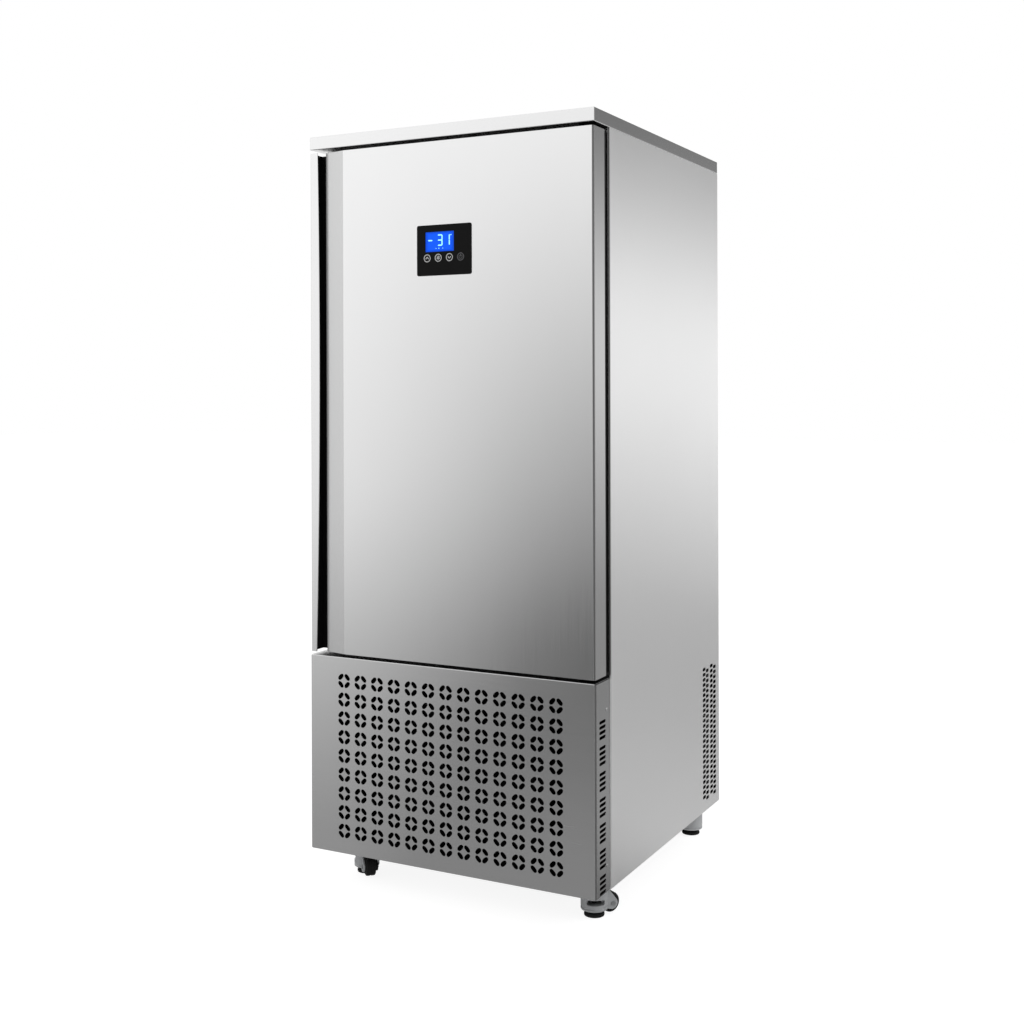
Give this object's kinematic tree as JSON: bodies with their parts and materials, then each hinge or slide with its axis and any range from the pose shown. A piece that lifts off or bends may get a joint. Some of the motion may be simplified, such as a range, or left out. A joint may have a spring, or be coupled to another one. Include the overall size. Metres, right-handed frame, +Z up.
{
  "type": "blast chiller",
  "caption": "Upright steel blast chiller with one full-height door, a finger-channel handle, a control display, a perforated lower panel and levelling casters.",
  "frame": {"origin": "centre of the bounding box at floor level", "axes": "+Z up, +X to the right seen from the front, +Y to the rear; the door faces -Y"},
  "size_m": [0.8024, 0.876, 1.92],
  "materials": {
    "brushed_steel": "brushed stainless sheet, fine vertical grain",
    "zinc_steel": "zinc-coated steel, satin",
    "cast_grey": "cast housing, grey satin",
    "aluminium_fins": "plain fin stock",
    "black_plastic": "satin black moulding",
    "rubber": "matt black rubber",
    "foam": "rigid polyurethane foam",
    "display_screen": "lit blue display under a clear window",
    "key_caps": "satin key caps",
    "black_paint": "black enamel"
  },
  "bodies": {
    "cabinet": {"base_frame": "black_paint", "side_panel_right": "brushed_steel", "side_panel_left": "brushed_steel", "rear_panel": "zinc_steel", "rear_grille": "zinc_steel", "top_panel": "brushed_steel", "cabinet_insulation": "foam", "inner_liner": "brushed_steel", "tray_rack_right": "brushed_steel", "tray_rack_left": "brushed_steel", "fan_panel": "brushed_steel", "evaporator_coil": "aluminium_fins", "evaporator_fan_motor_lower": "zinc_steel", "evaporator_fan_motor_upper": "zinc_steel", "condenser_coil": "black_paint", "condenser_fan_motor": "black_paint", "compressor": "black_paint", "liquid_receiver": "black_paint", "electrical_box": "zinc_steel", "cable_gland": "black_plastic", "lower_front_panel": "brushed_steel", "panel_screw_lower_right": "zinc_steel", "panel_screw_lower_left": "zinc_steel", "panel_screw_upper_right": "zinc_steel", "panel_screw_upper_left": "zinc_steel", "hinge_upper": "black_paint", "hinge_lower": "black_paint", "caster_plate_front_left": "zinc_steel", "caster_plate_front_right": "zinc_steel", "caster_plate_rear_left": "zinc_steel", "caster_plate_rear_right": "zinc_steel"},
    "door": {"door_skin": "brushed_steel", "door_insulation": "foam", "door_inner_panel": "brushed_steel", "door_gasket": "rubber", "control_bezel": "black_plastic", "display_lens": "display_screen"},
    "swivel_front_left": {"caster_body_front_left": "cast_grey", "caster_axle_front_left": "zinc_steel"},
    "wheel_front_left": {"caster_wheel_front_left": "rubber"},
    "foot_front_left": {"caster_foot_front_left": "rubber"},
    "swivel_front_right": {"caster_body_front_right": "cast_grey", "caster_axle_front_right": "zinc_steel"},
    "wheel_front_right": {"caster_wheel_front_right": "rubber"},
    "foot_front_right": {"caster_foot_front_right": "rubber"},
    "swivel_rear_left": {"caster_body_rear_left": "cast_grey", "caster_axle_rear_left": "zinc_steel"},
    "wheel_rear_left": {"caster_wheel_rear_left": "rubber"},
    "foot_rear_left": {"caster_foot_rear_left": "rubber"},
    "swivel_rear_right": {"caster_body_rear_right": "cast_grey", "caster_axle_rear_right": "zinc_steel"},
    "wheel_rear_right": {"caster_wheel_rear_right": "rubber"},
    "foot_rear_right": {"caster_foot_rear_right": "rubber"},
    "evaporator_fan_lower": {"evaporator_fan_lower": "black_plastic"},
    "evaporator_fan_upper": {"evaporator_fan_upper": "black_plastic"},
    "condenser_fan": {"condenser_fan": "black_plastic"},
    "button_1": {"button_1": "key_caps"},
    "button_2": {"button_2": "key_caps"},
    "button_3": {"button_3": "key_caps"},
    "button_4": {"button_4": "key_caps"}
  },
  "joints": [
    {"name": "door_hinge", "type": "hinge", "parent": "cabinet", "child": "door", "pos_m": [0.386, -0.402, 1.239], "axis": [0, 0, 1], "range_deg": [0, 110]},
    {"name": "swivel_front_left", "type": "hinge", "parent": "cabinet", "child": "swivel_front_left", "pos_m": [-0.3285, -0.289, 0.088], "axis": [0, 0, 1], "continuous": true},
    {"name": "wheel_spin_front_left", "type": "hinge", "parent": "swivel_front_left", "child": "wheel_front_left", "pos_m": [-0.29932, -0.31921, 0.026], "axis": [0.7193, 0.6947, 0], "continuous": true},
    {"name": "foot_level_front_left", "type": "slide", "parent": "swivel_front_left", "child": "foot_front_left", "axis": [0, 0, -1], "range_m": [-0.003, 0.007]},
    {"name": "swivel_front_right", "type": "hinge", "parent": "cabinet", "child": "swivel_front_right", "pos_m": [0.3285, -0.289, 0.088], "axis": [0, 0, 1], "continuous": true},
    {"name": "wheel_spin_front_right", "type": "hinge", "parent": "swivel_front_right", "child": "wheel_front_right", "pos_m": [0.35076, -0.25338, 0.026], "axis": [-0.848, 0.5299, 0], "continuous": true},
    {"name": "foot_level_front_right", "type": "slide", "parent": "swivel_front_right", "child": "foot_front_right", "axis": [0, 0, -1], "range_m": [-0.003, 0.007]},
    {"name": "swivel_rear_left", "type": "hinge", "parent": "cabinet", "child": "swivel_rear_left", "pos_m": [-0.3285, 0.386, 0.088], "axis": [0, 0, 1], "continuous": true},
    {"name": "wheel_spin_rear_left", "type": "hinge", "parent": "swivel_rear_left", "child": "wheel_rear_left", "pos_m": [-0.3495, 0.34963, 0.026], "axis": [0.866, -0.5, 0], "continuous": true},
    {"name": "foot_level_rear_left", "type": "slide", "parent": "swivel_rear_left", "child": "foot_rear_left", "axis": [0, 0, -1], "range_m": [-0.003, 0.007]},
    {"name": "swivel_rear_right", "type": "hinge", "parent": "cabinet", "child": "swivel_rear_right", "pos_m": [0.3285, 0.386, 0.088], "axis": [0, 0, 1], "continuous": true},
    {"name": "wheel_spin_rear_right", "type": "hinge", "parent": "swivel_rear_right", "child": "wheel_rear_right", "pos_m": [0.2865, 0.386, 0.026], "axis": [0, -1, 0], "continuous": true},
    {"name": "foot_level_rear_right", "type": "slide", "parent": "swivel_rear_right", "child": "foot_rear_right", "axis": [0, 0, -1], "range_m": [-0.003, 0.007]},
    {"name": "evaporator_fan_lower_spin", "type": "hinge", "parent": "cabinet", "child": "evaporator_fan_lower", "pos_m": [0, 0.1505, 1.02075], "axis": [0, 1, 0], "continuous": true},
    {"name": "evaporator_fan_upper_spin", "type": "hinge", "parent": "cabinet", "child": "evaporator_fan_upper", "pos_m": [0, 0.1505, 1.45075], "axis": [0, 1, 0], "continuous": true},
    {"name": "condenser_fan_spin", "type": "hinge", "parent": "cabinet", "child": "condenser_fan", "pos_m": [0, -0.229, 0.32], "axis": [0, 1, 0], "continuous": true},
    {"name": "button_1_press", "type": "slide", "parent": "door", "child": "button_1", "axis": [0, 1, 0], "range_m": [0, 0.0008], "stiffness_N_per_m": 2500},
    {"name": "button_2_press", "type": "slide", "parent": "door", "child": "button_2", "axis": [0, 1, 0], "range_m": [0, 0.0008], "stiffness_N_per_m": 2500},
    {"name": "button_3_press", "type": "slide", "parent": "door", "child": "button_3", "axis": [0, 1, 0], "range_m": [0, 0.0008], "stiffness_N_per_m": 2500},
    {"name": "button_4_press", "type": "slide", "parent": "door", "child": "button_4", "axis": [0, 1, 0], "range_m": [0, 0.0008], "stiffness_N_per_m": 2500}
  ]
}
